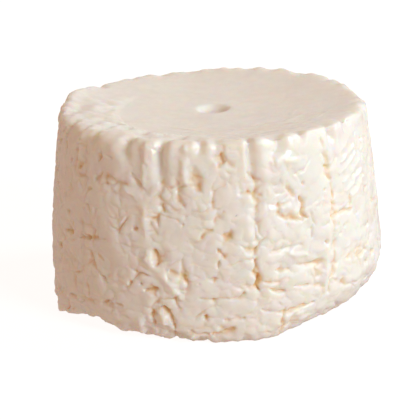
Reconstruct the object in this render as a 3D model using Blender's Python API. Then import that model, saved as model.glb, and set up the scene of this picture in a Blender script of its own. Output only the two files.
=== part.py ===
"""A fresh goat cheese: soft curd drained in a slotted basket and turned out upside down.

The drum is one solid. Its slightly tapered wall keeps the basket's marks: upright seams between
the panels, level rows, and flutes under the rim. Where curds didn't knit together there are
crevices and pits. The top was the basket's floor, so it is smooth and dished, with a dimple.
Metres, +Z up, origin at the middle of the flat base. Azimuth 0 faces -Y, +90 faces +X.
"""

import math

import bmesh
import bpy
import numpy as np

MM = 0.001

# The drum's own sizes
HEIGHT = 46.5 * MM
BELLY_RADIUS = 40.0 * MM
BELLY_HEIGHT = 12.0 * MM
BASE_RADIUS = 39.7 * MM
RIM_RADIUS = 36.2 * MM
FULLNESS = 0.55 * MM
RIM_ROUNDING = 0.8 * MM
HEEL_ROUNDING = 0.8 * MM
GIRTH = 2 * math.pi * BELLY_RADIUS
FLAT_BASE = 0.7 * BASE_RADIUS

# How far the two edges are rounded, and how high the rim stands, in mm by azimuth in degrees
RIM_SOFTNESS = {
    -150: 1.0, -112: 0.8, -90: 1.6, -60: 2.6, -20: 2.0, 10: 1.4, 45: 1.0, 75: 1.4, 100: 3.4, 130: 1.0,
}
BOTTOM_WEAR = {
    -150: 4.5, -110: 4.0, -84: 3.0, -75: 1.5, -66: 1.2, -57: 7.5, -51: 9.0, -44: 7.0, -32: 5.0, -24: 7.0,
    -12: 6.5, 0: 4.2, 10: 3.5, 20: 4.2, 30: 8.0, 45: 9.5, 60: 12.0, 75: 10.5, 100: 9.0, 140: 6.0,
}
RIM_LIFT = {
    -170: -0.3, -160: -0.3, -150: -0.1, -140: -0.1, -128: -0.1, -113: 0.1, -100: 0.1, -80: 0.0,
    100: 0.0, 120: 0.5, 130: 0.6, 138: 0.4, 150: 0.5, 170: 0.3, 180: 0.0,
}

# Slow swellings of the wall, and how well the curd fills the basket: mm across a lump, height, seed
SWELLINGS = ((15, 0.28, 8), (6, 0.12, 9), (3.4, 0.12, 11))
FILLINGS = ((7, 0.42, 13), (3.2, 0.26, 14))
BOTTOM_LUMPS = ((4.5, 0.55, 15), (2.3, 0.35, 16))
RIM_LUMPS = ((4.2, 0.30, 24), (2.2, 0.16, 25))
BENDS = ((5, 1.2, 1, 2), (1.8, 0.35, 3, 4))

# Curds pressed flat on the wall, and crumbs where they didn't reach it
PLATE_PITCH = (8.0 * MM, 6.0 * MM)
PLATE_LEAN = 0.15 * MM
PLATE_CREVICE = 0.7 * MM
CREVICE_WIDTH = 0.5 * MM
CRUMB_PITCH = (3.0 * MM, 2.3 * MM)
CRUMB_DOME = 0.42 * MM
PRESSED = 0.26 * MM
EDGE_SOFTNESS = 0.10 * MM

# The basket's marks: eleven panels with seams between them, slots, and ribs round its floor
PANELS = 11
FIRST_SEAM = math.radians(-19)
SEAM_WIDTH = 1.2 * MM
SEAM_DEPTH = 0.5 * MM
LOOSE = 0.3 * MM
ROW_PITCH = 4.8 * MM
FIRST_ROW = 7.2 * MM
ROW_CRACK = 0.55 * MM
ROW_ROLL = 0.25 * MM

# Flutes under the rim: azimuth in degrees, then length, half width and depth in mm. A negative
# depth is a bulge.
FLUTES = (
    (-110, 14.0, 7.0, -0.9),
    (-100, 4.0, 1.0, 0.6),
    (-78, 4.0, 0.9, 0.7),
    (-66, 4.0, 1.3, 0.7),
    (-48, 3.5, 1.2, 0.8),
    (-31, 6.0, 1.4, 1.0),
    (-17, 11.0, 1.5, 1.3),
    (-3.5, 3.5, 1.1, 0.7),
    (2, 5.0, 1.2, 0.5),
    (14, 11.0, 1.1, 1.2),
    (24.5, 4.5, 2.0, 0.9),
    (33.5, 3.0, 0.9, 0.5),
    (46.8, 5.0, 1.2, 0.8),
    (57, 4.0, 1.2, 0.6),
    (123, 4.0, 1.2, 0.4),
    (138, 5.0, 1.5, 0.5),
    (165, 4.0, 1.8, 0.4),
    (215, 5.0, 1.4, 0.5),
    (232, 5.0, 1.4, 0.6),
)
BACK_FLUTES = 12
BACK_FLUTES_FROM, BACK_FLUTES_TO = 65, 295

# The largest pits and cracks, and lips with a negative depth: half width and depth in mm, then
# the azimuth in degrees and height in mm of a few points along each
MARKS = (
    (1.6, 0.8, (-7, 41), (-5.5, 36)),
    (1.2, 0.7, (-17.5, 38), (-19, 34.5), (-18, 31.5)),
    (0.7, 1.1, (-43.2, 42.6), (-44, 40.4)),
    (0.7, 0.9, (-46, 36.1), (-39.5, 37.5), (-31, 36.4)),
    (1.4, -0.4, (-24.2, 46), (-24, 42)),
    (1.1, -0.5, (-9.9, 46), (-9.9, 38)),
    (1.0, -0.4, (-31, 35.2), (-26, 33.8), (-23.8, 31), (-23.6, 25.5)),
    (0.9, 0.8, (-20, 30.3), (-19.5, 28)),
    (0.9, 1.4, (-20.3, 22.2), (-19.8, 19)),
    (0.9, 1.4, (-23.4, 13), (-20.2, 13.3)),
    (1.0, -0.4, (-24, 20), (-20, 18), (-16, 15), (-12, 11.5)),
    (0.9, 1.4, (-17.5, 9.2), (-15.8, 7.7), (-14.5, 4)),
    (1.3, -0.7, (-19.4, 7.6), (-17.8, 5.2)),
    (3.0, -0.9, (-70, 0.5), (-67, 4)),
    (0.9, 0.8, (-15.4, 18), (-10.6, 16.6)),
    (1.0, 1.4, (2.1, 43.8), (1.4, 41.9)),
    (1.3, -0.35, (24, 40.6), (31, 38.8)),
    (0.8, -0.5, (39.3, 43.4), (41.8, 35)),
    (0.8, 1.0, (21.8, 31.8), (21, 29.7), (23.5, 28.7), (29.8, 27.4)),
    (0.8, 1.3, (29.8, 32.6), (30.8, 30.9), (30, 29), (31.8, 27.8)),
    (0.8, 1.4, (12, 19.5), (11.8, 17.1), (13.2, 15.4), (13.2, 12.6)),
    (0.9, 1.4, (3, 26.2), (4.6, 25.4)),
    (0.8, 1.0, (0.6, 22.9), (2.8, 20.8)),
    (1.2, 1.4, (-1.4, 2.6), (4.4, 4)),
    (0.8, 0.45, (44.2, 31), (43.5, 26.4), (43, 20.4), (41.8, 15)),
    (0.9, 0.9, (49.5, 15.2)),
)
STRAY_PITS = 50
STRAYS_FROM, STRAYS_TO = 60, 300

# The dished top
DISH_DEPTH = 3.2 * MM
DISH_RADIUS = 34.5 * MM
DISC_CENTRE = (4.2 * MM, 1.0 * MM)
DISC_RADIUS = 27.6 * MM
DISC_STEP = 0.45 * MM
STEP_SIDE = math.radians(-50)
DIMPLE_CENTRE = (0.2 * MM, 6.2 * MM)
DIMPLE_RADIUS = 4.4 * MM
DIMPLE_DEPTH = 1.5 * MM

# The grid that is shaped, before it is thinned to what a stored solid may hold
COLUMNS = 340
WALL_ROWS = 84
TOP_RINGS = 30
BASE_RINGS = 8
CORNER_STEPS = 5
JOIN = 0.01 * MM
MOST_TRIANGLES = 11400

CURD_COLOUR = (0.84, 0.76, 0.68, 1.0)
CURD_ROUGHNESS = 0.45


def smooth(value, start, end):
    """0 at start, 1 at end, with a soft start and finish."""
    share = np.clip((value - start) / (end - start), 0, 1)
    return share * share * (3 - 2 * share)


def narrow(distance, width):
    """1 where the distance is 0, falling to 0 at about twice the given width."""
    return np.exp(-((distance / width) ** 2))


def wall_radius(height):
    """The wall widens from the rim down to the belly, a little fuller than straight."""
    share = np.clip((height - BELLY_HEIGHT) / (HEIGHT - BELLY_HEIGHT), 0, 1)
    straight = np.interp(height, (0, BELLY_HEIGHT, HEIGHT), (BASE_RADIUS, BELLY_RADIUS, RIM_RADIUS))
    return straight + FULLNESS * np.sin(math.pi * share)


def half_section():
    """From the base's middle out, up the wall and in over the top, as radius and height."""
    heel, shoulder = BASE_RADIUS - HEEL_ROUNDING, RIM_RADIUS - RIM_ROUNDING
    turns = np.linspace(0, math.pi / 2, CORNER_STEPS)
    section = [(heel * n / BASE_RINGS, 0) for n in range(BASE_RINGS)]
    section += [
        (heel + HEEL_ROUNDING * math.sin(a), HEEL_ROUNDING * (1 - math.cos(a))) for a in turns
    ]
    wall = np.linspace(HEEL_ROUNDING, HEIGHT - RIM_ROUNDING, WALL_ROWS)[1:-1]
    section += [(wall_radius(z), z) for z in wall]
    section += [
        (shoulder + RIM_ROUNDING * math.cos(a), HEIGHT - RIM_ROUNDING * (1 - math.sin(a)))
        for a in turns
    ]
    section += [(shoulder * (1 - n / TOP_RINGS), HEIGHT) for n in range(1, TOP_RINGS + 1)]
    return section


def turned_drum():
    """The half section spun into a closed body."""
    drum = bmesh.new()
    corners = [drum.verts.new((-r, 0, z)) for r, z in half_section()]
    sides = [drum.edges.new(pair) for pair in zip(corners, corners[1:])]
    bmesh.ops.spin(
        drum,
        geom=corners + sides,
        cent=(0, 0, 0),
        axis=(0, 0, 1),
        angle=2 * math.pi,
        steps=COLUMNS,
        use_merge=True,
    )
    bmesh.ops.remove_doubles(drum, verts=drum.verts, dist=JOIN)
    bmesh.ops.recalc_face_normals(drum, faces=drum.faces)
    return drum


def set_points(drum, points):
    for vertex, point in zip(drum.verts, points):
        vertex.co = point
    drum.normal_update()


def around(table, points):
    """A value in metres for each point, from a table of mm by azimuth."""
    azimuth = np.degrees(np.arctan2(points[:, 0], -points[:, 1]))
    return np.interp(azimuth, list(table), list(table.values()), period=360) * MM


def worn_edge(points, height, wear):
    """The points, with those at one edge pulled in to a rounding that changes round it."""
    side = 1 if height > 0 else -1
    middle = height - side * wear
    middle_radius = wall_radius(middle) - wear
    radius = np.hypot(points[:, 0], points[:, 1])
    out, past = radius - middle_radius, side * (points[:, 2] - middle)
    reach = np.hypot(out, past)
    is_corner = (out > 0) & (past > 0) & (reach > wear)
    pull = np.where(is_corner, wear / np.maximum(reach, JOIN), 1)
    share = np.where(is_corner, (middle_radius + out * pull) / np.maximum(radius, JOIN), 1)
    drop = np.where(is_corner, side * past * (1 - pull), 0)
    return np.column_stack((points[:, 0] * share, points[:, 1] * share, points[:, 2] - drop))


def unrolled(points):
    """Where each point lies on the unrolled skin: along the girth, and up it past both edges."""
    x, y, z = points.T
    inset = np.maximum(wall_radius(z) - np.hypot(x, y), 0)
    return np.arctan2(x, -y) * BELLY_RADIUS, z + np.where(z > HEIGHT / 2, inset, -inset)


def along_girth(across, degrees):
    """How far each point is along the girth from an azimuth."""
    return (across - math.radians(degrees) * BELLY_RADIUS + GIRTH / 2) % GIRTH - GIRTH / 2


def lumps(where, cell, seed, stretch=1.0):
    """Smooth noise from about -1 to 1, in lumps cell mm high and stretch times wider."""
    columns, rows = round(GIRTH / MM / cell / stretch), math.ceil(2 * HEIGHT / MM / cell) + 4
    slopes = np.exp(1j * np.random.default_rng(seed).uniform(0, 2 * math.pi, (columns, rows)))
    x, y = where[0] * columns / GIRTH, (where[1] + HEIGHT / 2) / MM / cell + 1
    column, row = np.floor(x).astype(int), np.floor(y).astype(int)
    total = np.zeros_like(x)
    for right in (0, 1):
        for above in (0, 1):
            dx, dy = x - column - right, y - row - above
            slope = slopes[(column + right) % columns, np.clip(row + above, 0, rows - 1)]
            weight = smooth(1 - abs(dx), 0, 1) * smooth(1 - abs(dy), 0, 1)
            total += (slope.real * dx + slope.imag * dy) * weight
    return 1.5 * total


def layered(where, layers):
    """Several layers of lumps together, in metres."""
    return sum(height * MM * lumps(where, cell, seed) for cell, height, seed in layers)


def curds(where, pitch, seed):
    """Curds on an uneven grid: the distance to the nearest boundary, and each curd's own lean."""
    columns, rows = round(GIRTH / pitch[0]), math.ceil(2 * HEIGHT / pitch[1]) + 4
    draws = np.random.default_rng(seed)
    shift = draws.uniform(-0.42, 0.42, (columns, rows, 2))
    lean = draws.uniform(-1, 1, (columns, rows, 3))
    x, y = where[0] * columns / GIRTH, (where[1] + HEIGHT / 2) / pitch[1] + 1
    column, row = np.floor(x).astype(int), np.floor(y).astype(int)
    nearest, second = np.full_like(x, np.inf), np.full_like(x, np.inf)
    facet = np.zeros_like(x)
    for right in (-2, -1, 0, 1, 2):
        for above in (-2, -1, 0, 1, 2):
            which = (column + right) % columns, np.clip(row + above, 0, rows - 1)
            dx = x - column - right - 0.5 - shift[which][:, 0]
            dy = y - row - above - 0.5 - shift[which][:, 1]
            away = np.hypot(dx, dy)
            tilt = 0.6 * lean[which][:, 0] + 1.4 * (lean[which][:, 1] * dx + lean[which][:, 2] * dy)
            closer = away < nearest
            second = np.where(closer, nearest, np.minimum(second, away))
            facet = np.where(closer, tilt, facet)
            nearest = np.where(closer, away, nearest)
    return (second - nearest) / 2 * min(pitch), facet


def pressed_curd(where):
    """How far the curd swells out, and how well it fills the basket, both in metres."""
    up = where[1]
    bottom = 1 - smooth(up, 1.5 * MM, 6 * MM)
    under_rim = smooth(up, 0.80 * HEIGHT, 0.95 * HEIGHT)
    bent = [
        side + sum(bend[1] * MM * lumps(where, bend[0], bend[2 + number]) for bend in BENDS)
        for number, side in enumerate(where)
    ]
    plate_edge, plate_lean = curds(bent, PLATE_PITCH, seed=5)
    crumb_edge, crumb_lean = curds(bent, CRUMB_PITCH, seed=6)
    swell = layered(where, SWELLINGS) + bottom * layered(where, BOTTOM_LUMPS)
    swell += PLATE_LEAN * plate_lean * smooth(plate_edge, 0, 0.9 * MM)
    fill = PRESSED + layered(where, FILLINGS) + (0.35 * under_rim - 0.10 * bottom) * MM
    fill += CRUMB_DOME * (smooth(crumb_edge, 0, 0.9 * MM) - 0.6 + 0.35 * crumb_lean)
    fill -= PLATE_CREVICE * smooth(lumps(where, 6, seed=17), -0.05, 0.5) * narrow(plate_edge, CREVICE_WIDTH)
    return swell, fill


def basket_marks(where):
    """What the seams and the rows add to the swell and to the fill, in metres."""
    across, up = where
    azimuth = np.degrees(across / BELLY_RADIUS)
    under_rim = smooth(up, 0.80 * HEIGHT, 0.95 * HEIGHT)
    unseen = smooth(abs(azimuth), 60, 75)
    strength = 0.3 + 0.6 * lumps(where, 7, seed=19) + 0.4 * smooth(up, 0.65 * HEIGHT, HEIGHT)
    strength = np.clip(strength, 0.05, 1)
    wander = 0.7 * MM * lumps(where, 9, seed=18)
    off = (across + wander - FIRST_SEAM * BELLY_RADIUS) * PANELS / GIRTH
    off = abs(off - np.round(off)) * GIRTH / PANELS
    groove, lip = narrow(off, SEAM_WIDTH), narrow(off - 2.2 * SEAM_WIDTH, SEAM_WIDTH)
    swell = SEAM_DEPTH * strength * (0.5 * lip - 0.7 * groove)
    fill = -SEAM_DEPTH * strength * groove * (0.3 + 0.7 * unseen)
    fill -= LOOSE * strength * narrow(off, 3 * SEAM_WIDTH) * (1 - under_rim)

    row = (up + 0.5 * MM * lumps(where, 12, seed=20) - FIRST_ROW) / ROW_PITCH
    from_row = abs(row - np.round(row)) * ROW_PITCH
    low_wall = 1 - smooth(up, 0.35 * HEIGHT, 0.65 * HEIGHT)
    rows_show = 0.05 + 0.8 * lumps(where, 8, seed=21, stretch=2) + 0.3 * low_wall * unseen
    clear_rows = smooth(azimuth, 12, 18) * (1 - smooth(azimuth, 36, 44)) * low_wall
    rows_show = np.maximum(np.clip(rows_show, 0, 1), 0.8 * clear_rows)
    gaping = smooth(lumps(where, 5, seed=22, stretch=2), -0.2, 0.5)
    swell += ROW_ROLL * rows_show * (smooth(from_row, 0, 0.5 * ROW_PITCH) - 0.6)
    fill -= ROW_CRACK * rows_show * gaping * narrow(from_row, CREVICE_WIDTH)
    return swell, fill


def fluting(where):
    """How far the folds under the rim stand out, in metres."""
    across, up = where
    draws = np.random.default_rng(23)
    flutes = list(FLUTES)
    spacing = (BACK_FLUTES_TO - BACK_FLUTES_FROM) / BACK_FLUTES
    for number in range(BACK_FLUTES):
        at = BACK_FLUTES_FROM + (number + draws.uniform(-0.4, 0.4)) * spacing
        flutes.append((at, draws.uniform(2.5, 9), draws.uniform(0.9, 2.2), draws.uniform(0.1, 0.45)))
    relief = smooth(up, 0.85 * HEIGHT, 0.95 * HEIGHT) * layered(where, RIM_LUMPS)
    for at, length, half_width, deep in flutes:
        off = along_girth(across, at) * RIM_RADIUS / BELLY_RADIUS
        fade = smooth(up, HEIGHT - length * MM, HEIGHT - 0.4 * length * MM)
        relief -= deep * MM * fade * narrow(off, half_width * MM)
    return relief


def mark(where, half_width, path):
    """1 along a path over the skin, falling to 0 beside it."""
    across, up = where
    nearest = np.full_like(across, np.inf)
    for (start, low), (end, high) in zip(path, path[1:] or path):
        run = np.array((math.radians(end - start) * BELLY_RADIUS, (high - low) * MM))
        dx, dy = along_girth(across, start), up - low * MM
        share = np.clip((dx * run[0] + dy * run[1]) / max(run @ run, JOIN**2), 0, 1)
        nearest = np.minimum(nearest, np.hypot(dx - share * run[0], dy - share * run[1]))
    return narrow(nearest, half_width * MM)


def marks(where):
    """What the lips add to the swell, and what the pits and cracks take from the fill, in metres."""
    swell, fill = np.zeros_like(where[0]), np.zeros_like(where[0])
    for half_width, deep, *path in MARKS:
        shape = mark(where, half_width, path)
        swell -= min(deep, 0) * MM * shape
        fill -= deep * MM * shape
    draws = np.random.default_rng(31)
    for _ in range(STRAY_PITS):
        size = draws.uniform(0.6, 1.0)
        at = draws.uniform(STRAYS_FROM, STRAYS_TO), draws.uniform(0.05, 0.9) * HEIGHT / MM
        end = at[0] + size * draws.uniform(-2, 2), at[1] + size * draws.uniform(-2, 2)
        fill -= size * draws.uniform(1, 1.6) * MM * mark(where, size, (at, end))
    return swell, fill


def wall_relief(points):
    """Metres that each point of the wall, heel and rim moves outwards."""
    where = unrolled(points)
    layers = pressed_curd(where), basket_marks(where), marks(where)
    swell, fill = (sum(layer[side] for layer in layers) for side in (0, 1))
    sunk = EDGE_SOFTNESS * np.logaddexp(0, -fill / EDGE_SOFTNESS)
    up = where[1]
    on_wall = smooth(up, -7 * MM, -1 * MM) * (1 - smooth(up, HEIGHT - 1.5 * MM, HEIGHT + 1.5 * MM))
    near_rim = 1 - smooth(up, HEIGHT + 1 * MM, HEIGHT + 4 * MM)
    return (swell - sunk) * on_wall + fluting(where) * near_rim


def top_relief(points):
    """Metres that each point of the top moves downwards."""
    x, y, z = points.T
    radius = np.hypot(x, y)
    on_top = (z > 0.8 * HEIGHT) * (1 - smooth(radius, DISH_RADIUS - 1 * MM, RIM_RADIUS))
    off_x, off_y = x - DISC_CENTRE[0], y - DISC_CENTRE[1]
    from_disc, disc_azimuth = np.hypot(off_x, off_y), np.arctan2(off_x, -off_y)
    step = np.clip(np.cos(disc_azimuth - STEP_SIDE), 0, 1)
    dish = DISH_DEPTH * np.clip(1 - (radius / DISH_RADIUS) ** 2, 0, 1)
    dish += DISC_STEP * step * (1 - smooth(from_disc, DISC_RADIUS - 2.2 * MM, DISC_RADIUS + 0.6 * MM))
    off = np.hypot(x - DIMPLE_CENTRE[0], y - DIMPLE_CENTRE[1])
    dish += DIMPLE_DEPTH * (1 - smooth(off, 0.45 * DIMPLE_RADIUS, DIMPLE_RADIUS))
    return on_top * dish


def shaped(drum):
    """The drum's points, moved to the finished form."""
    points = np.array([vertex.co for vertex in drum.verts])
    points = worn_edge(points, HEIGHT, around(RIM_SOFTNESS, points))
    points = worn_edge(points, 0, around(BOTTOM_WEAR, points))
    set_points(drum, points)
    normals = np.array([vertex.normal for vertex in drum.verts])
    moved = points + wall_relief(points)[:, None] * normals
    moved[:, 2] -= top_relief(points)
    radius = np.hypot(points[:, 0], points[:, 1])
    at_rim = smooth(moved[:, 2], 0.7 * HEIGHT, HEIGHT) * smooth(radius, 0.5 * RIM_RADIUS, RIM_RADIUS)
    moved[:, 2] += around(RIM_LIFT, points) * at_rim
    is_base = (points[:, 2] < JOIN) & (radius < FLAT_BASE)
    moved[:, 2] = np.where(is_base, 0, np.maximum(moved[:, 2], 0))
    return moved


def curd_material():
    material = bpy.data.materials.new("fresh_curd")
    material.use_nodes = True
    shader = material.node_tree.nodes["Principled BSDF"]
    shader.inputs["Base Color"].default_value = CURD_COLOUR
    shader.inputs["Roughness"].default_value = CURD_ROUGHNESS
    shader.inputs["Metallic"].default_value = 0.0
    return material


def cheese():
    drum = turned_drum()
    set_points(drum, shaped(drum))
    triangles = 2 * len(drum.verts) - 4
    skin = bpy.data.meshes.new("cheese")
    drum.to_mesh(skin)
    drum.free()
    skin.shade_smooth()
    skin.materials.append(curd_material())
    piece = bpy.data.objects.new("cheese", skin)
    bpy.context.scene.collection.objects.link(piece)
    thinned = piece.modifiers.new("Thinned", "DECIMATE")
    thinned.ratio = MOST_TRIANGLES / triangles
    thinned.use_collapse_triangulate = True
    return piece


for old in list(bpy.data.objects):
    bpy.data.objects.remove(old)
cheese()
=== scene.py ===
"""The looks of a fresh goat cheese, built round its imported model. Metres, +Z up.

Azimuth 0 faces -Y, where the camera stands, and +90 faces +X.
"""

import math

import bmesh
import bpy
import numpy as np
from mathutils import Matrix, Vector


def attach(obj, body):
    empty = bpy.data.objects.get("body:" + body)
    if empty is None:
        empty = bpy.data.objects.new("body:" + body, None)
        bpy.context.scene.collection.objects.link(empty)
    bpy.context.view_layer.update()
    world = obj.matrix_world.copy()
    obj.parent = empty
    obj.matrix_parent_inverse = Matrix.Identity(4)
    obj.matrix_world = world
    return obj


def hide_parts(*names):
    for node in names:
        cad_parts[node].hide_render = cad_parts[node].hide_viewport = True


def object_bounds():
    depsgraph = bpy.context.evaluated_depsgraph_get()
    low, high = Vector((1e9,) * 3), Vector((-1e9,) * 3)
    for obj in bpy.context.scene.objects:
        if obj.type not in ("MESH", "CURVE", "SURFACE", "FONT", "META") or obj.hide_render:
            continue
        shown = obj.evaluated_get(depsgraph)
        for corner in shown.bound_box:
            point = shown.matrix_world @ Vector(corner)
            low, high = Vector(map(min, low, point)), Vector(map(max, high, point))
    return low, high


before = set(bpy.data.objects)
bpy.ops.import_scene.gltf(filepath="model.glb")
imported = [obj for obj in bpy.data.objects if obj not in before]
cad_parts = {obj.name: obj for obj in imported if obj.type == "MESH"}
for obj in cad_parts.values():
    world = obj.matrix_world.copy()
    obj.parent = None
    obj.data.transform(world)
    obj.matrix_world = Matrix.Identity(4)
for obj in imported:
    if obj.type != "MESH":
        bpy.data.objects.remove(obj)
cad_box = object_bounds()
MM = 0.001

# The drum. Curd is ladled into a slotted basket, drains and shrinks, and is turned out upside
# down: the basket's mouth makes the wide base and its floor the narrow top. It is one piece, so
# its half section is spun into one closed skin, and cut fine enough for the curd's own relief.
HEIGHT = 46.5 * MM
BELLY_RADIUS = 40.0 * MM
BELLY_HEIGHT = 12.0 * MM
BASE_RADIUS = 39.7 * MM
RIM_RADIUS = 36.2 * MM
FULLNESS = 0.55 * MM
RIM_ROUNDING = 0.8 * MM
HEEL_ROUNDING = 0.8 * MM
GIRTH = 2 * math.pi * BELLY_RADIUS
SPIN_STEPS = 100
CUTS_EACH_STEP = 9
WALL_CUTS = 190
TOP_CUTS = 150
BASE_CUTS = 30
JOIN = 0.005 * MM


def turned_drum():
    """The half section, cut into short runs with its corners rounded, spun about Z."""
    skin = bmesh.new()
    section = ((0, 0), (BASE_RADIUS, 0), (BELLY_RADIUS, BELLY_HEIGHT), (RIM_RADIUS, HEIGHT), (0, HEIGHT))
    corners = [skin.verts.new((-r, 0, z)) for r, z in section]
    base, heel, wall, top = [skin.edges.new(pair) for pair in zip(corners, corners[1:])]
    bmesh.ops.subdivide_edges(skin, edges=[base], cuts=BASE_CUTS)
    bmesh.ops.subdivide_edges(skin, edges=[heel], cuts=round(WALL_CUTS * BELLY_HEIGHT / HEIGHT))
    bmesh.ops.subdivide_edges(skin, edges=[wall], cuts=round(WALL_CUTS * (1 - BELLY_HEIGHT / HEIGHT)))
    bmesh.ops.subdivide_edges(skin, edges=[top], cuts=TOP_CUTS)
    for vertex in skin.verts:
        if 0 < vertex.co.z < HEIGHT:
            vertex.co.x = -wall_radius(vertex.co.z)
        vertex.co = rounded(vertex.co)
    bmesh.ops.spin(
        skin,
        geom=skin.verts[:] + skin.edges[:],
        cent=(0, 0, 0),
        axis=(0, 0, 1),
        angle=2 * math.pi,
        steps=SPIN_STEPS,
        use_merge=True,
    )
    bmesh.ops.remove_doubles(skin, verts=skin.verts, dist=JOIN)
    rings = [edge for edge in skin.edges if runs_round(edge)]
    bmesh.ops.subdivide_edges(skin, edges=rings, cuts=CUTS_EACH_STEP)
    bmesh.ops.recalc_face_normals(skin, faces=skin.faces)
    return skin


def wall_radius(height):
    """The wall widens from the rim down to the belly, a little fuller than straight."""
    share = np.clip((height - BELLY_HEIGHT) / (HEIGHT - BELLY_HEIGHT), 0, 1)
    straight = np.interp(height, (0, BELLY_HEIGHT, HEIGHT), (BASE_RADIUS, BELLY_RADIUS, RIM_RADIUS))
    return straight + FULLNESS * np.sin(math.pi * share)


def rounded(point):
    """A point of the half section, pulled in where the rim or the heel is rounded."""
    for radius, z, bend in ((RIM_RADIUS, HEIGHT, RIM_ROUNDING), (BASE_RADIUS, 0, HEEL_ROUNDING)):
        centre = Vector((-(radius - bend), 0, abs(z - bend)))
        out = point - centre
        past = out.x < 0 and out.z * (z - HEIGHT / 2) > 0
        if past and out.length > bend:
            return centre + out * (bend / out.length)
    return point


def runs_round(edge):
    """True for an edge that the spin made, which stays at one height and one radius."""
    one, other = (vertex.co for vertex in edge.verts)
    return abs(one.z - other.z) < JOIN and abs(one.xy.length - other.xy.length) < JOIN


drum = turned_drum()
cheese_data = bpy.data.meshes.new("goat_cheese")
drum.to_mesh(cheese_data)
drum.free()


def skin_numbers(name):
    """The places or the normals of the skin's points, one row each."""
    flat = np.empty(len(cheese_data.vertices) * 3, np.float32)
    cheese_data.vertices.foreach_get(name, flat)
    return flat.reshape(-1, 3).astype(float)


def set_skin(places):
    """Moves the skin's points to their new places."""
    cheese_data.vertices.foreach_set("co", places.astype(np.float32).ravel())
    cheese_data.update()


def smooth(value, start, end):
    """0 at start, 1 at end, with a soft start and finish."""
    share = np.clip((value - start) / (end - start), 0, 1)
    return share * share * (3 - 2 * share)


# The two edges. The rim sat in the basket's rounded corner, and is softest on the left of the
# photographed side. The bottom was the loose, open side, so it is worn round, most on the right.
# Each rounding is given in mm at a few azimuths in degrees, and so is how high the rim stands.
RIM_SOFTNESS = {
    -150: 1.0, -112: 0.8, -90: 1.8, -60: 3.2, -20: 2.2,
    10: 1.4, 45: 1.0, 75: 1.4, 100: 3.4, 130: 1.0,
}
BOTTOM_WEAR = {
    -150: 4.5, -110: 4.0, -84: 3.0, -75: 1.5, -66: 1.2, -57: 7.5,
    -51: 9.0, -44: 7.0, -32: 5.0, -24: 7.0, -12: 6.5, 0: 4.2, 10: 3.5,
    19: 3.6, 24: 7.0, 30: 8.5, 45: 9.5, 60: 12.0, 75: 10.5, 100: 9.0, 140: 6.0,
}
RIM_LIFT = {
    -170: -0.3, -160: -0.3, -150: -0.1, -140: -0.1, -128: -0.1, -113: 0.1, -100: 0.1, -80: 0.0,
    100: 0.0, 120: 0.5, 130: 0.6, 138: 0.4, 150: 0.5, 170: 0.3, 180: 0.0,
}


def around(table):
    """A value in metres for every point of the skin, from a table of mm by azimuth."""
    return np.interp(np.degrees(azimuth), list(table), list(table.values()), period=360) * MM


def worn_edge(height, wear):
    """The skin's points, with those at one edge pulled in to a rounding that changes round it."""
    side = 1 if height > 0 else -1
    middle = height - side * wear
    middle_radius = wall_radius(middle) - wear
    radius = np.hypot(points[:, 0], points[:, 1])
    out, past = radius - middle_radius, side * (points[:, 2] - middle)
    reach = np.hypot(out, past)
    is_corner = (out > 0) & (past > 0) & (reach > wear)
    pull = np.where(is_corner, wear / np.maximum(reach, JOIN), 1)
    share = np.where(is_corner, (middle_radius + out * pull) / np.maximum(radius, JOIN), 1)
    drop = np.where(is_corner, side * past * (1 - pull), 0)
    return np.column_stack((points[:, 0] * share, points[:, 1] * share, points[:, 2] - drop))


points = skin_numbers("co")
azimuth = np.arctan2(points[:, 0], -points[:, 1])
points = worn_edge(HEIGHT, around(RIM_SOFTNESS))
points = worn_edge(0, around(BOTTOM_WEAR))
set_skin(points)

# The curds. Soft lumps of curd press flat against the basket's wall: the skin is smooth where
# they knit, and drops to crumbs and crevices where they don't. The bottom is crumbly all round.
# A swelling is given by its size, its height (a fine one's also where it is rough) and a seed.
PLATE_PITCH = (8.0 * MM, 6.0 * MM)
PLATE_ROUND = 0.9 * MM
PLATE_LEAN = 0.15 * MM
PLATE_CREVICE = 0.7 * MM
CREVICE_WIDTH = 0.32 * MM
CRUMB_PITCH = (3.0 * MM, 2.3 * MM)
CRUMB_ROUND = 0.9 * MM
CRUMB_DOME = 0.42 * MM
CRUMB_LEAN = 0.35
GRAIN_PITCH = (1.4 * MM, 1.1 * MM)
GRAIN_ROUND = 0.45 * MM
GRAIN_DOME = 0.10 * MM
PRESSED = 0.26 * MM
PRESSED_AT_RIM = 0.35 * MM
LOOSE_AT_BOTTOM = 0.10 * MM
EDGE_SOFTNESS = 0.18 * MM
BEND_SIZE, BEND = 5 * MM, 1.2 * MM
FINE_BEND_SIZE, FINE_BEND = 1.8 * MM, 0.35 * MM
ROUGH_PATCH = 11 * MM
SLOW_SWELLS = ((15 * MM, 0.28 * MM, 8), (6 * MM, 0.12 * MM, 9))
FINE_SWELLS = ((3.4 * MM, 0.05 * MM, 0.13 * MM, 11), (1.8 * MM, 0.02 * MM, 0.05 * MM, 12))
FILL_SWELLS = ((7 * MM, 0.42 * MM, 13), (3.2 * MM, 0.26 * MM, 14))
BOTTOM_SWELLS = ((4.5 * MM, 0.50 * MM, 15), (2.3 * MM, 0.42 * MM, 16))
UNEVEN = 0.42
PROUD, TIPPED = 0.6, 1.4
CREVICE_PATCH = 6 * MM
CRUMBLY_BELOW = (1.5 * MM, 6 * MM)
UNDER_RIM = (0.80 * HEIGHT, 0.95 * HEIGHT)

radius = np.hypot(points[:, 0], points[:, 1])
inset = np.maximum(wall_radius(points[:, 2]) - radius, 0)
across, up = azimuth * BELLY_RADIUS, points[:, 2] + np.where(points[:, 2] > HEIGHT / 2, inset, -inset)
normals = skin_numbers("normal")


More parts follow.
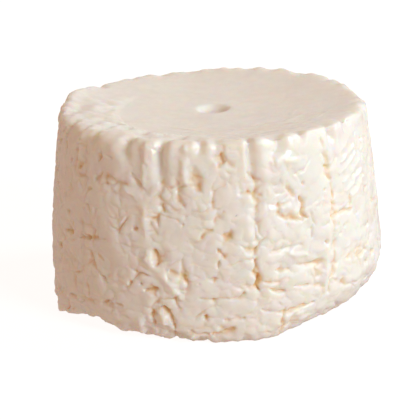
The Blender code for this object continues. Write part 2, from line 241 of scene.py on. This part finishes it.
def lumps(cell, seed, stretch=1.0):
    """Smooth noise from about -1 to 1 over the skin, in lumps cell high and stretch times wider."""
    columns, rows = round(GIRTH / cell / stretch), math.ceil(2 * HEIGHT / cell) + 4
    slopes = np.exp(1j * np.random.default_rng(seed).uniform(0, 2 * math.pi, (columns, rows)))
    x, y = across * columns / GIRTH, (up + HEIGHT / 2) / cell + 1
    column, row = np.floor(x).astype(int), np.floor(y).astype(int)
    total = np.zeros_like(x)
    for right in (0, 1):
        for above in (0, 1):
            dx, dy = x - column - right, y - row - above
            slope = slopes[(column + right) % columns, np.clip(row + above, 0, rows - 1)]
            weight = smooth(1 - abs(dx), 0, 1) * smooth(1 - abs(dy), 0, 1)
            total += (slope.real * dx + slope.imag * dy) * weight
    return 1.5 * total


def curds(pitch, seed):
    """Curds on an uneven grid: the distance to the nearest boundary, and each curd's own lean."""
    columns, rows = round(GIRTH / pitch[0]), math.ceil(2 * HEIGHT / pitch[1]) + 4
    draws = np.random.default_rng(seed)
    shift = draws.uniform(-UNEVEN, UNEVEN, (columns, rows, 2))
    lean = draws.uniform(-1, 1, (columns, rows, 3))
    x, y = bent_across * columns / GIRTH, (bent_up + HEIGHT / 2) / pitch[1] + 1
    column, row = np.floor(x).astype(int), np.floor(y).astype(int)
    nearest, second = np.full_like(x, np.inf), np.full_like(x, np.inf)
    facet = np.zeros_like(x)
    for right in (-2, -1, 0, 1, 2):
        for above in (-2, -1, 0, 1, 2):
            which = (column + right) % columns, np.clip(row + above, 0, rows - 1)
            dx = x - column - right - 0.5 - shift[which][:, 0]
            dy = y - row - above - 0.5 - shift[which][:, 1]
            away = np.hypot(dx, dy)
            tilt = PROUD * lean[which][:, 0]
            tilt += TIPPED * (lean[which][:, 1] * dx + lean[which][:, 2] * dy)
            closer = away < nearest
            second = np.where(closer, nearest, np.minimum(second, away))
            facet = np.where(closer, tilt, facet)
            nearest = np.where(closer, away, nearest)
    return (second - nearest) / 2 * min(pitch), facet


def swellings(rows):
    """Lumps of several sizes and heights together."""
    return sum(height * lumps(cell, seed) for cell, height, seed in rows)


def narrow(distance, width):
    """1 where the distance is 0, falling to 0 at about twice the given width."""
    return np.exp(-((distance / width) ** 2))


bent_across = across + BEND * lumps(BEND_SIZE, seed=1) + FINE_BEND * lumps(FINE_BEND_SIZE, seed=3)
bent_up = up + BEND * lumps(BEND_SIZE, seed=2) + FINE_BEND * lumps(FINE_BEND_SIZE, seed=4)
plate_edge, plate_lean = curds(PLATE_PITCH, seed=5)
crumb_edge, crumb_lean = curds(CRUMB_PITCH, seed=6)
grain_edge, _ = curds(GRAIN_PITCH, seed=7)
rough = smooth(lumps(ROUGH_PATCH, seed=10), -0.35, 0.35)
bottom = 1 - smooth(up, *CRUMBLY_BELOW)
under_rim = smooth(up, *UNDER_RIM)

swell = swellings(SLOW_SWELLS)
for cell, everywhere, where_rough, seed in FINE_SWELLS:
    swell += (everywhere + where_rough * rough) * lumps(cell, seed)
swell += PLATE_LEAN * plate_lean * smooth(plate_edge, 0, PLATE_ROUND)
swell += bottom * swellings(BOTTOM_SWELLS)

fill = PRESSED + swellings(FILL_SWELLS)
fill += PRESSED_AT_RIM * under_rim - LOOSE_AT_BOTTOM * bottom
fill += CRUMB_DOME * (smooth(crumb_edge, 0, CRUMB_ROUND) - 0.6 + CRUMB_LEAN * crumb_lean)
fill += GRAIN_DOME * (smooth(grain_edge, 0, GRAIN_ROUND) - 0.5)
crevices = smooth(lumps(CREVICE_PATCH, seed=17), -0.05, 0.5)
fill -= PLATE_CREVICE * crevices * narrow(plate_edge, CREVICE_WIDTH)

# The basket's marks. Its eleven panels meet in upright ribs, which press seams into the wall,
# its slots leave level rows, and the ribs round its floor leave flutes under the rim. A flute's
# row gives its azimuth in degrees, and its length, half width and depth in mm.
PANELS = 11
FIRST_SEAM = math.radians(-19)
SEAM_WANDER = 0.7 * MM
SEAM_WIDTH = 1.2 * MM
SEAM_DEPTH = 0.5 * MM
SEAM_BEND, SEAM_PATCH = 9 * MM, 7 * MM
SEAM_TO_LIP = 2.2 * SEAM_WIDTH
LOOSE_BY_SEAM = 0.3 * MM
LOOSE_WIDTH = 3 * SEAM_WIDTH
ROW_PITCH = 4.8 * MM
ROW_WANDER = 0.5 * MM
FIRST_ROW = 7.2 * MM
ROW_CRACK = 0.55 * MM
ROW_CRACK_WIDTH = 0.4 * MM
ROW_ROLL = 0.25 * MM
ROW_BEND, ROW_PATCH, GAP_PATCH = 12 * MM, 8 * MM, 5 * MM
RIGHT_ROWS = 0.65
RIGHT_PANEL_FROM, RIGHT_PANEL_TO = (12, 18), (36, 44)
UNSEEN_PAST = (60, 75)
AT_RIM = (0.85 * HEIGHT, 0.95 * HEIGHT)
RIM_SWELLS = ((4.2 * MM, 0.30 * MM, 24), (2.2 * MM, 0.16 * MM, 25))
FRONT_FLUTES = (
    (-110, 14.0, 7.0, -0.9),
    (-100, 4.0, 1.0, 0.6),
    (-92, 3.0, 0.8, 0.6),
    (-85, 3.5, 0.8, 0.5),
    (-78, 4.0, 0.9, 0.7),
    (-67, 4.0, 1.3, 0.8),
    (-57, 3.5, 1.0, 0.6),
    (-49, 3.5, 1.2, 0.9),
    (-32.5, 6.0, 1.4, 1.1),
    (-18.8, 11.0, 1.2, 1.3),
    (-4.6, 3.5, 1.0, 0.8),
    (1, 5.0, 1.1, 0.6),
    (12.7, 11.0, 0.8, 1.1),
    (23, 5.5, 1.9, 1.1),
    (32.8, 3.0, 0.9, 0.6),
    (46, 5.0, 1.1, 0.9),
    (56, 4.0, 1.2, 0.7),
    (123, 4.0, 1.2, 0.4),
    (138, 5.0, 1.5, 0.5),
    (165, 4.0, 1.8, 0.4),
    (215, 5.0, 1.4, 0.5),
    (232, 5.0, 1.4, 0.6),
)
BACK_FLUTES = 12
BACK_FROM, BACK_TO = 65, 295
BACK_SPANS = ((2.5, 9), (0.9, 2.2), (0.1, 0.45))

bearing = np.degrees(azimuth)
unseen = smooth(abs(bearing), *UNSEEN_PAST)
wander = SEAM_WANDER * lumps(SEAM_BEND, seed=18)
strength = 0.3 + 0.6 * lumps(SEAM_PATCH, seed=19) + 0.4 * smooth(up, 0.65 * HEIGHT, HEIGHT)
strength = np.clip(strength, 0.05, 1)
off = (across + wander - FIRST_SEAM * BELLY_RADIUS) * PANELS / GIRTH
off = abs(off - np.round(off)) * GIRTH / PANELS
seam_groove, seam_lip = narrow(off, SEAM_WIDTH), narrow(off - SEAM_TO_LIP, SEAM_WIDTH)
swell += SEAM_DEPTH * strength * (0.5 * seam_lip - 0.7 * seam_groove)
fill -= SEAM_DEPTH * strength * seam_groove * (0.3 + 0.7 * unseen)
fill -= LOOSE_BY_SEAM * strength * narrow(off, LOOSE_WIDTH) * (1 - under_rim)

row = (up + ROW_WANDER * lumps(ROW_BEND, seed=20) - FIRST_ROW) / ROW_PITCH
from_row = abs(row - np.round(row)) * ROW_PITCH
low_wall = 1 - smooth(up, 0.35 * HEIGHT, 0.65 * HEIGHT)
rows_show = np.clip(0.05 + 0.8 * lumps(ROW_PATCH, seed=21, stretch=2) + 0.3 * low_wall * unseen, 0, 1)
right_panel = smooth(bearing, *RIGHT_PANEL_FROM) * (1 - smooth(bearing, *RIGHT_PANEL_TO))
rows_show = np.maximum(rows_show, RIGHT_ROWS * right_panel * low_wall)
swell += ROW_ROLL * rows_show * (smooth(from_row, 0, 0.5 * ROW_PITCH) - 0.6)
gaping = smooth(lumps(GAP_PATCH, seed=22, stretch=2), -0.2, 0.5)
fill -= ROW_CRACK * rows_show * gaping * narrow(from_row, ROW_CRACK_WIDTH)

flutes = list(FRONT_FLUTES)
draws = np.random.default_rng(23)
for number in range(BACK_FLUTES):
    at = BACK_FROM + (number + draws.uniform(-0.4, 0.4)) * (BACK_TO - BACK_FROM) / BACK_FLUTES
    flutes.append((at, *(draws.uniform(*span) for span in BACK_SPANS)))
fluting = smooth(up, *AT_RIM) * swellings(RIM_SWELLS)
for at, length, half_width, deep in flutes:
    off = (across - math.radians(at) * BELLY_RADIUS + GIRTH / 2) % GIRTH - GIRTH / 2
    fade = smooth(up, HEIGHT - length * MM, HEIGHT - 0.4 * length * MM)
    fluting -= deep * MM * fade * narrow(off * RIM_RADIUS / BELLY_RADIUS, half_width * MM)

# The marks of this cheese: cracks and pits where curds didn't knit, and lips that stand proud.
# A row is one on the photographed side. It gives half width and depth in mm, negative for a lip,
# and then a few points of azimuth in degrees and height in mm. Others are scattered elsewhere.
MARKS = (
    (1.6, 0.8, (-7, 41), (-5.5, 36)),
    (1.2, 0.7, (-17.5, 38), (-19, 34.5), (-18, 31.5)),
    (0.6, 1.1, (-43.2, 42.6), (-44, 40.4)),
    (0.8, 0.8, (-56, 37.4), (-53.5, 38.8)),
    (0.9, 0.6, (-46, 36.1), (-42, 37.5), (-39.5, 37.5), (-34.5, 36.5), (-31, 36.4)),
    (0.9, 0.6, (-29.5, 38.9), (-26, 37)),
    (1.4, -0.4, (-24.2, 46), (-24, 42)),
    (1.1, -0.5, (-9.9, 46), (-9.9, 38)),
    (0.9, -0.35, (-25, 41), (-24, 36.5)),
    (1.0, -0.4, (-31, 35.2), (-26, 33.8), (-23.8, 31), (-24.2, 27.6), (-23.6, 25.5)),
    (0.9, 0.8, (-20, 30.3), (-19.5, 28)),
    (1.0, 2.0, (-20.3, 22.2), (-19.8, 19)),
    (1.2, -0.5, (-22.8, 21.6), (-22, 20.4)),
    (0.9, 2.0, (-23.4, 13), (-20.2, 13.3)),
    (1.0, -0.4, (-24, 20), (-20, 18), (-16, 15), (-12, 11.5)),
    (0.8, 2.2, (-17.5, 9.2), (-15.8, 7.7), (-14.5, 4)),
    (1.3, -0.7, (-19.4, 7.6), (-17.8, 5.2)),
    (0.8, 1.8, (-4, 7.3), (-4, 6.5)),
    (0.6, 1.0, (-57.8, 25), (-57.2, 24)),
    (0.25, 0.9, (-51, 28.6)),
    (0.5, 0.6, (-53, 21.4), (-45.5, 22.9), (-38, 22.8)),
    (0.8, 0.7, (-48.8, 22.2)),
    (0.4, 0.8, (-43, 19.2), (-40.8, 18)),
    (0.4, 1.1, (-42, 14.2), (-39.8, 13.3)),
    (0.6, 1.0, (-30, 14)),
    (0.5, 1.0, (-25.8, 14.4)),
    (0.6, 0.5, (-60, 6.4), (-50, 7.4), (-40, 8), (-33, 8)),
    (0.6, 0.8, (-62.5, 5), (-64.5, 1)),
    (3.0, -0.9, (-70, 0.5), (-67, 4)),
    (0.4, 0.7, (-48.6, 8.4), (-49.2, 11.6)),
    (0.7, 1.0, (-22, 8), (-21.4, 4)),
    (0.9, 0.8, (-15.4, 18), (-13, 17), (-10.6, 16.6)),
    (0.6, 0.9, (-5, 25.6), (-3.4, 26.6), (-1.8, 27.2)),
    (0.5, 0.8, (-6.2, 14.8)),
    (1.0, 0.25, (-17, 31.6), (-10, 31.2), (-3, 31.4)),
    (0.5, 0.8, (-10.8, 28.4)),
    (0.5, 1.0, (-28, 26.6), (-26.4, 27)),
    (1.5, 2.3, (2.1, 43.8), (1.4, 41.9)),
    (0.5, 0.9, (11.2, 35.4)),
    (1.2, -0.3, (20.5, 41.4), (29.5, 40.6)),
    (1.1, 0.9, (40.4, 44.5), (42, 40), (43.4, 35), (44.2, 31)),
    (0.5, 1.0, (31.2, 35.3)),
    (0.6, 1.0, (40.2, 33)),
    (0.5, 1.0, (15.5, 34.2)),
    (0.7, 1.0, (21.8, 31.8), (21, 29.7), (23.5, 28.7), (28, 28.1), (29.8, 27.4)),
    (0.6, 1.3, (29.8, 32.6), (30.8, 30.9), (30, 29), (31.8, 27.8)),
    (0.6, 0.8, (33.5, 25.4), (33.2, 23)),
    (0.6, 0.45, (17.5, 21.1), (22.8, 21.6), (28.5, 21.8)),
    (0.9, -0.3, (24.6, 20), (30, 19.3)),
    (0.6, 0.5, (27, 17.5), (29.8, 16.6), (37.2, 16.9)),
    (0.5, 0.8, (19.2, 17), (24, 16.6)),
    (0.55, 1.4, (12, 19.5), (12.8, 18.2), (11.8, 17.1), (13.2, 15.4), (12.5, 13.8), (13.2, 12.6)),
    (0.5, 1.0, (17.5, 12.8), (19.2, 12.2), (22.5, 11.6)),
    (0.4, 0.8, (25.2, 12.6), (30.5, 12)),
    (0.5, 0.8, (14.2, 8), (19, 6.9), (26, 6.8), (33, 7.4)),
    (0.45, 0.8, (-6, 11.8), (-2.2, 11.5), (7, 11.5), (8.8, 12.4)),
    (0.5, 0.8, (2.2, 6.4), (8.5, 6.6)),
    (0.95, 1.8, (3, 26.2), (4.6, 25.4)),
    (0.6, 1.1, (0.6, 22.9), (1.4, 22.4)),
    (0.5, 0.9, (2, 22), (2.8, 20.8)),
    (0.7, 0.7, (2.2, 31.1), (-0.4, 29.2)),
    (0.35, 0.8, (0.8, 20), (0.2, 18.6)),
    (0.5, 0.8, (-2.2, 16), (-0.8, 16.2)),
    (1.2, 1.5, (-1.4, 2.6), (4.4, 4)),
    (1.3, -0.4, (-27, -5), (-26.5, 5)),
    (1.2, -0.4, (-22.5, -5), (-22, 2)),
    (1.4, -0.5, (-18.5, -5), (-18.5, 1)),
    (0.9, 0.9, (-15.5, -5), (-15, 2)),
    (1.2, -0.4, (-9, -5), (-9, 1)),
    (0.9, 0.65, (44.2, 31), (43.5, 26.4), (43, 20.4), (41.8, 15), (39, 9)),
    (0.8, -0.3, (41, 26), (39.5, 17), (37.5, 11)),
    (0.8, 0.55, (13.2, 41), (13.9, 36), (13.6, 30), (13, 26), (12.6, 20)),
    (0.5, 0.8, (43, 26.2), (47, 26.6), (54, 26.2)),
    (0.5, 0.9, (53.5, 27.6), (53.6, 29.4)),
    (0.9, 0.9, (49.5, 15.2)),
    (0.6, 0.8, (39.2, 21.2)),
    (0.6, 0.6, (41.5, 11.6), (46.5, 10), (53, 7.4)),
    (0.5, -0.25, (49, 39.6), (58, 42.4)),
    (0.5, -0.28, (50, 37.4), (61, 40.6)),
    (0.5, -0.28, (49, 35), (60, 38.4)),
    (0.5, -0.28, (50.5, 32.8), (62, 36.4)),
    (0.5, -0.28, (51.5, 30.6), (63, 34)),
    (0.5, -0.25, (54, 28.8), (64, 31.8)),
)
STRAY_MARKS = 170
STRAY_SIZES = (0.25, 0.65)
STRAY_AZIMUTHS = (60, 300)
STRAY_HEIGHTS = (0.05, 0.95)
STRAY_LENGTHS = (0.5, 9)
STRAY_DEPTHS = (1, 2.6)
SLIMMER = 0.78
DEEPEST_PIT = 1.4
WIDEST, TAPER = 1.35, 2.8
WOBBLE_SIZE, WOBBLE = 2.6 * MM, 0.4 * MM
RAG_SIZE, FINE_RAG_SIZE = 1.7 * MM, 0.9 * MM
LIP_BREAK_SIZE, LIP_BREAK = 2.2 * MM, 0.8
WALL_FROM = (-13 * MM, -8 * MM)
WALL_TO = (HEIGHT - 1.5 * MM, HEIGHT + 1.5 * MM)
RIM_TO = (HEIGHT + 1 * MM, HEIGHT + 4 * MM)


def mark(half_width, *path):
    """1 along a path over the skin, falling to 0 beside it and thinning towards its ends."""
    places = [np.array((math.radians(degrees) * BELLY_RADIUS, height * MM)) for degrees, height in path]
    nearest = np.full_like(across, np.inf)
    if len(places) == 1:
        dx = (wobbly_across - places[0][0] + GIRTH / 2) % GIRTH - GIRTH / 2
        return np.exp(-((np.hypot(dx, wobbly_up - places[0][1]) / half_width / ragged) ** 2))
    for number, (start, end) in enumerate(zip(places, places[1:])):
        run = end - start
        dx = (wobbly_across - start[0] + GIRTH / 2) % GIRTH - GIRTH / 2
        dy = wobbly_up - start[1]
        share = np.clip((dx * run[0] + dy * run[1]) / (run @ run), 0, 1)
        along = (number + share) / (len(places) - 1)
        thinning = WIDEST - TAPER * (along - 0.5) ** 2
        away = np.hypot(dx - share * run[0], dy - share * run[1]) / thinning
        nearest = np.minimum(nearest, away)
    return np.exp(-((nearest / half_width / ragged) ** 2))


broken = LIP_BREAK * lumps(LIP_BREAK_SIZE, seed=26)
ragged = 1 + 0.5 * lumps(RAG_SIZE, seed=27) + 0.3 * lumps(FINE_RAG_SIZE, seed=28)
ragged = np.clip(ragged, 0.45, 1.7)
wobbly_across = across + WOBBLE * lumps(WOBBLE_SIZE, seed=29)
wobbly_up = up + WOBBLE * lumps(WOBBLE_SIZE, seed=30)
for half_width, deep, *path in MARKS:
    shape = mark(SLIMMER * half_width * MM, *path)
    fill -= min(deep, DEEPEST_PIT) * MM * shape
    swell -= min(deep, 0) * MM * shape * (1 + broken)
draws = np.random.default_rng(31)
for _ in range(STRAY_MARKS):
    size = draws.uniform(*STRAY_SIZES)
    at, height = draws.uniform(*STRAY_AZIMUTHS), draws.uniform(*STRAY_HEIGHTS) * HEIGHT / MM
    length, lean = size * draws.uniform(*STRAY_LENGTHS), draws.uniform(-1, 1) ** 3 * math.pi / 2
    turn = math.degrees(length * MM / BELLY_RADIUS) * math.cos(lean)
    end = at + turn, height + length * math.sin(lean)
    fill -= size * draws.uniform(*STRAY_DEPTHS) * MM * mark(size * MM, (at, height), end)

sunk = EDGE_SOFTNESS * np.logaddexp(0, -fill / EDGE_SOFTNESS)
on_wall = smooth(up, *WALL_FROM) * (1 - smooth(up, *WALL_TO))
near_rim = 1 - smooth(up, *RIM_TO)
moved = points + ((swell - sunk) * on_wall + fluting * near_rim)[:, None] * normals

# The dished top. The basket's floor is a raised disc set a little off centre, with a moulding
# pip, so the top is smooth and sunk, with a faint step round the disc, a dimple, a row of tiny
# beads on the step and thin smears where the cheese was turned out.
DISC_CENTRE = (4.2 * MM, 1.0 * MM)
DISC_RADIUS = 27.6 * MM
DISC_STEP = 0.6 * MM
DISC_EDGE = (DISC_RADIUS - 1.6 * MM, DISC_RADIUS + 0.4 * MM)
STEP_FACES = math.radians(-50)
BORDER_LUMPS = 0.75 * MM
BORDER_LUMP_SIZE = 4 * MM
BORDER_EDGE = (DISC_RADIUS - 1 * MM, DISC_RADIUS + 2 * MM)
BORDER_LEFT, BORDER_FRONT = (-4 * MM, 12 * MM), (-14 * MM, -2 * MM)
DISH_DEPTH = 3.2 * MM
DISH_RADIUS = 34.5 * MM
DISH_EDGE = (DISH_RADIUS - 1 * MM, RIM_RADIUS)
DIMPLE_CENTRE = (0.2 * MM, 6.2 * MM)
DIMPLE_RADIUS = 4.4 * MM
DIMPLE_DEPTH = 1.5 * MM
SMEARS = 26
SMEAR_RINGS = (0.55, 1.0)
SMEAR_AZIMUTHS = (-40, 80)
SMEAR_SPREADS = (0.05, 0.3)
SMEAR_SHARES = (0.3, 1)
SMEAR_HEIGHT = 0.15 * MM
SMEAR_WIDTH = 0.45 * MM
SMEAR_DRIFT = 0.8 * MM
BEADS = 16
BEAD_SHARES = (0.4, 1)
BEAD_HEIGHT = 0.28 * MM
BEAD_WIDTH = 0.48 * MM
BEADS_FROM, BEADS_TO = math.radians(-78), math.radians(-22)

is_top = points[:, 2] > 0.8 * HEIGHT
on_top = is_top * (1 - smooth(radius, *DISH_EDGE))
off_x, off_y = points[:, 0] - DISC_CENTRE[0], points[:, 1] - DISC_CENTRE[1]
from_disc, disc_azimuth = np.hypot(off_x, off_y), np.arctan2(off_x, -off_y)
dish = DISH_DEPTH * np.clip(1 - (radius / DISH_RADIUS) ** 2, 0, 1)
step = np.clip(from_disc / DISC_RADIUS * np.cos(disc_azimuth - STEP_FACES), 0, 1)
dish += DISC_STEP * step * (1 - smooth(from_disc, *DISC_EDGE))
border = smooth(from_disc, *BORDER_EDGE)
border *= smooth(-off_x, *BORDER_LEFT) * smooth(-off_y, *BORDER_FRONT)
dish -= BORDER_LUMPS * border * lumps(BORDER_LUMP_SIZE, seed=32)
off = np.hypot(points[:, 0] - DIMPLE_CENTRE[0], points[:, 1] - DIMPLE_CENTRE[1])
dish += DIMPLE_DEPTH * (1 - smooth(off, 0.45 * DIMPLE_RADIUS, DIMPLE_RADIUS))
draws = np.random.default_rng(33)
for _ in range(SMEARS):
    ring = DISC_RADIUS * draws.uniform(*SMEAR_RINGS)
    middle = math.radians(draws.uniform(*SMEAR_AZIMUTHS))
    along = abs(disc_azimuth - middle) / draws.uniform(*SMEAR_SPREADS)
    off = from_disc - ring - SMEAR_DRIFT * along
    height = SMEAR_HEIGHT * draws.uniform(*SMEAR_SHARES)
    dish -= height * narrow(off, SMEAR_WIDTH) * (1 - smooth(along, 0.4, 1))
for number in range(BEADS):
    angle = BEADS_FROM + (BEADS_TO - BEADS_FROM) * (number + draws.uniform(-0.3, 0.3)) / BEADS
    off = np.hypot(off_x - DISC_RADIUS * math.sin(angle), off_y + DISC_RADIUS * math.cos(angle))
    dish -= BEAD_HEIGHT * draws.uniform(*BEAD_SHARES) * narrow(off, BEAD_WIDTH)
moved[:, 2] -= on_top * dish
lift = smooth(moved[:, 2], 0.7 * HEIGHT, HEIGHT) * smooth(radius, 0.5 * RIM_RADIUS, RIM_RADIUS)
moved[:, 2] += around(RIM_LIFT) * lift

is_base = (points[:, 2] < 2 * JOIN) & (radius < 0.7 * BASE_RADIUS)
moved[:, 2] = np.where(is_base, 0, moved[:, 2])
set_skin(np.clip(moved, *cad_box))

# The finished piece. A cheese is one soft block with a closed skin, so it is one mesh: the skin
# thinned where it lies flat and kept inside the imported solid's box. How deep each point lies in
# a crevice is kept on it, because painted shade follows that: the colour is painted darker and warmer
# there.
MOST_TRIANGLES = 192000
SHALLOW = 0.2 * MM
DEEPEST = 1.2 * MM

# This crevice depth drives painted shade: the colour is painted darker and warmer where it is deep.
painted_shade_depth = cheese_data.attributes.new("painted_shade_depth", "FLOAT", "POINT")
depth = np.clip((sunk - SHALLOW) * on_wall / DEEPEST, 0, 1)
painted_shade_depth.data.foreach_set("value", depth.astype(np.float32))
cheese_data.shade_smooth()
cheese_data.calc_loop_triangles()
cheese = bpy.data.objects.new("goat_cheese", cheese_data)
bpy.context.scene.collection.objects.link(cheese)
thinner = cheese.modifiers.new("Thinner", "DECIMATE")
thinner.ratio = MOST_TRIANGLES / len(cheese_data.loop_triangles)
graph = bpy.context.evaluated_depsgraph_get()
thinned = bpy.data.meshes.new_from_object(cheese.evaluated_get(graph), depsgraph=graph)
cheese.modifiers.remove(thinner)
for vertex in thinned.vertices:
    vertex.co = np.clip(vertex.co, *cad_box)
cheese.data = thinned
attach(cheese, "root")
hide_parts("cheese")

# The curd itself: drained milk protein, warm white, matt in places and wet with whey in others.
# Its colour is painted peach in crevices and amber in the deepest pits: painted shade, and a painted
# glow of light that soaks in and comes out yellower. It is faintly mottled, and its skin is finely
# grained.
CURD_WHITE = (0.96, 0.91, 0.865, 1)
MOTTLE_CREAM = (0.94, 0.88, 0.82, 1)
# Painted shade: the crevices' peach and the pits' amber stand in for shade and for light glowing through
# the curd.
CREVICE_PAINTED_SHADE = (0.99, 0.91, 0.81, 1)
PIT_PAINTED_SHADE = (1.0, 0.81, 0.50, 1)
PAINTED_SHADE_PEACH_FROM = 0.35
MOTTLE_SIZE = 7.0 * MM
WET_PATCH = 3.5 * MM
SKIN_GRAIN = 0.9 * MM
GRAIN_HEIGHT = 0.012 * MM
LEAST_NOISE, MOST_NOISE = 0.36, 0.64
MATT, WET = 0.50, 0.34
LEAST_COAT, MOST_COAT = 0.05, 0.5
WHEY_ROUGHNESS = 0.2
LIGHT_REACH = (1.0, 0.72, 0.48)
LIGHT_DEPTH = 2.3 * MM

curd = bpy.data.materials.new("moist_curd")
curd.use_nodes = True
nodes, links = curd.node_tree.nodes, curd.node_tree.links
shader = nodes["Principled BSDF"]
place = nodes.new("ShaderNodeTexCoord")


def mottle(size, detail):
    """Soft cloudy noise on the piece, with patches of a given size."""
    noise = nodes.new("ShaderNodeTexNoise")
    noise.inputs["Scale"].default_value = 1 / size
    noise.inputs["Detail"].default_value = detail
    links.new(place.outputs["Object"], noise.inputs["Vector"])
    return noise.outputs["Fac"]


def spread(value, low, high):
    """A noise value, which stays near 0.5, spread out between low and high."""
    stretch = nodes.new("ShaderNodeMapRange")
    stretch.inputs["From Min"].default_value = LEAST_NOISE
    stretch.inputs["From Max"].default_value = MOST_NOISE
    stretch.inputs["To Min"].default_value = low
    stretch.inputs["To Max"].default_value = high
    links.new(value, stretch.inputs["Value"])
    return stretch.outputs["Result"]


patches = nodes.new("ShaderNodeMix")
patches.data_type = "RGBA"
patches.inputs["A"].default_value = CURD_WHITE
patches.inputs["B"].default_value = MOTTLE_CREAM
links.new(spread(mottle(MOTTLE_SIZE, detail=4), 0, 1), patches.inputs["Factor"])

# Painted shade: the colour is multiplied darker and warmer by each point's crevice depth.
deep = nodes.new("ShaderNodeAttribute")
deep.attribute_name = "painted_shade_depth"
painted_shade_ramp = nodes.new("ShaderNodeValToRGB")
painted_shade_ramp.color_ramp.elements[0].color = (1, 1, 1, 1)
painted_shade_ramp.color_ramp.elements[1].color = PIT_PAINTED_SHADE
painted_shade_ramp.color_ramp.elements.new(PAINTED_SHADE_PEACH_FROM).color = CREVICE_PAINTED_SHADE
links.new(deep.outputs["Fac"], painted_shade_ramp.inputs["Fac"])
painted_shade_mix = nodes.new("ShaderNodeMix")
painted_shade_mix.data_type = "RGBA"
painted_shade_mix.blend_type = "MULTIPLY"
painted_shade_mix.inputs["Factor"].default_value = 1.0
links.new(patches.outputs["Result"], painted_shade_mix.inputs["A"])
links.new(painted_shade_ramp.outputs["Color"], painted_shade_mix.inputs["B"])
links.new(painted_shade_mix.outputs["Result"], shader.inputs["Base Color"])

wetness = mottle(WET_PATCH, detail=3)
links.new(spread(wetness, MATT, WET), shader.inputs["Roughness"])
links.new(spread(wetness, LEAST_COAT, MOST_COAT), shader.inputs["Coat Weight"])
grain = nodes.new("ShaderNodeBump")
grain.inputs["Strength"].default_value = 1.0
grain.inputs["Distance"].default_value = GRAIN_HEIGHT
links.new(mottle(SKIN_GRAIN, detail=3), grain.inputs["Height"])
links.new(grain.outputs["Normal"], shader.inputs["Normal"])
shader.inputs["Coat Roughness"].default_value = WHEY_ROUGHNESS
shader.inputs["Subsurface Weight"].default_value = 1.0
shader.inputs["Subsurface Radius"].default_value = LIGHT_REACH
shader.inputs["Subsurface Scale"].default_value = LIGHT_DEPTH
cheese.data.materials.clear()
cheese.data.materials.append(curd)

# The photograph's view. A long lens stands a little above the cheese, on the side that the
# photograph shows, and is turned two degrees. Its focal length and its sensor are in mm.
CAMERA_DISTANCE = 400 * MM
CAMERA_ELEVATION = math.radians(17.2)
CAMERA_ROLL = math.radians(1.9)
FOCAL_LENGTH = 141.3
SENSOR_WIDTH = 36
AIM = Vector((-1.3 * MM, 0, HEIGHT / 2 - 3.7 * MM))

camera_data = bpy.data.cameras.new("photo_camera")
camera_data.lens = FOCAL_LENGTH
camera_data.sensor_width = SENSOR_WIDTH
camera = bpy.data.objects.new("photo_camera", camera_data)
bpy.context.scene.collection.objects.link(camera)
back = Vector((0, -math.cos(CAMERA_ELEVATION), math.sin(CAMERA_ELEVATION)))
stand = Vector((0, 0, HEIGHT / 2)) + CAMERA_DISTANCE * back
aim = (AIM - stand).to_track_quat("-Z", "Y").to_matrix().to_4x4()
camera.matrix_world = Matrix.Translation(stand) @ aim @ Matrix.Rotation(-CAMERA_ROLL, 4, "Z")
bpy.context.scene.camera = camera

# The studio: a pale floor, two soft windows on the right, a pale wall behind and a warm brown room
# all round. The floor looks pale, and lights the cheese from below about as the room does. A light
# is given by its degrees round and up, its size in metres and its power in watts.
FLOOR_SIZE = 4.0
FLOOR_DROP = 0.05 * MM
FLOOR_GLOW = 0.86
FLOOR_PAINT = 0.30
ROOM_BROWN = (0.50, 0.343, 0.247, 1)
BOARD_BROWN = (0.55, 0.40, 0.33, 1)
WINDOW_TINT = (0.72, 0.885, 0.955)
WINDOW_DISTANCE = 1.2
WINDOWS = (
    ("window_front", 44, 22, 0.4, 8.2),
    ("window_side", 100, 34, 0.4, 4.8),
    ("pale_wall", 190, 20, 0.8, 1.2),
)

floor_mesh = bmesh.new()
bmesh.ops.create_grid(floor_mesh, x_segments=1, y_segments=1, size=FLOOR_SIZE / 2)
floor_data = bpy.data.meshes.new("floor")
floor_mesh.to_mesh(floor_data)
floor_mesh.free()
floor = bpy.data.objects.new("floor", floor_data)
floor.location.z = -FLOOR_DROP
bpy.context.scene.collection.objects.link(floor)
pale = bpy.data.materials.new("pale_floor")
pale.use_nodes = True
floor_nodes, floor_links = pale.node_tree.nodes, pale.node_tree.links
paint = floor_nodes["Principled BSDF"]
paint.inputs["Base Color"].default_value = (FLOOR_PAINT, FLOOR_PAINT, FLOOR_PAINT, 1)
paint.inputs["Roughness"].default_value = 0.9
paint.inputs["Specular IOR Level"].default_value = 0.0
paint.inputs["Emission Color"].default_value = (1, 1, 1, 1)
paint.inputs["Emission Strength"].default_value = FLOOR_GLOW
bounce = floor_nodes.new("ShaderNodeEmission")
bounce.inputs["Color"].default_value = BOARD_BROWN
seen = floor_nodes.new("ShaderNodeLightPath")
either = floor_nodes.new("ShaderNodeMixShader")
floor_links.new(seen.outputs["Is Camera Ray"], either.inputs["Fac"])
floor_links.new(bounce.outputs[0], either.inputs[1])
floor_links.new(paint.outputs[0], either.inputs[2])
floor_links.new(either.outputs[0], floor_nodes["Material Output"].inputs["Surface"])
floor_data.materials.append(pale)

for name, degrees_round, degrees_up, size, power in WINDOWS:
    window_data = bpy.data.lights.new(name, "AREA")
    window_data.size = size
    window_data.energy = power
    window_data.color = WINDOW_TINT
    window = bpy.data.objects.new(name, window_data)
    round_z, rise = math.radians(degrees_round), math.radians(degrees_up)
    level = math.cos(rise)
    towards = Vector((math.sin(round_z) * level, -math.cos(round_z) * level, math.sin(rise)))
    window.location = towards * WINDOW_DISTANCE
    window.rotation_euler = towards.to_track_quat("Z", "Y").to_euler()
    bpy.context.scene.collection.objects.link(window)

world = bpy.data.worlds.new("room")
world.use_nodes = True
bpy.context.scene.world = world
world.node_tree.nodes["Background"].inputs["Color"].default_value = ROOM_BROWN
bpy.context.scene.view_settings.view_transform = "Standard"
